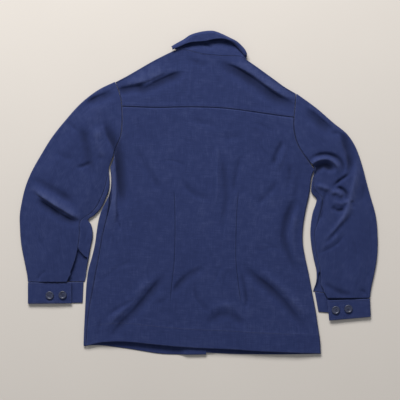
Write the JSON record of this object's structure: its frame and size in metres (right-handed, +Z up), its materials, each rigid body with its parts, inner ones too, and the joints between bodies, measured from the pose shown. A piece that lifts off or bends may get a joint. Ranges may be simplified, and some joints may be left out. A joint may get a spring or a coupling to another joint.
{
  "type": "work jacket",
  "caption": "Woven work jacket laid flat on its front, back up, with a yoke, button cuffs, a shirt collar and sleeves laid out to both sides.",
  "frame": {"origin": "centre of the bounding box's base, on the surface the jacket lies on", "axes": "+X to the right across the back, cuff to cuff; +Y from the hem to the collar; +Z up from the surface, out of the jacket's back"},
  "size_m": [0.8765, 0.7918, 0.0208],
  "materials": {
    "cloth": "navy woven linen and cotton, matt",
    "button": "dark navy moulded button, satin"
  },
  "bodies": {
    "root": {"back_panel": "cloth", "back_yoke": "cloth", "front_left": "cloth", "front_right": "cloth", "sleeve_left": "cloth", "sleeve_right": "cloth", "cuff_left": "cloth", "cuff_right": "cloth", "collar": "cloth", "collar_leaf_left": "cloth", "collar_leaf_right": "cloth", "cuff_button_left_outer": "button", "cuff_button_left_inner": "button", "cuff_button_right_inner": "button", "cuff_button_right_outer": "button", "front_button_1": "button", "front_button_2": "button", "front_button_3": "button", "front_button_4": "button", "front_button_5": "button"}
  },
  "joints": []
}
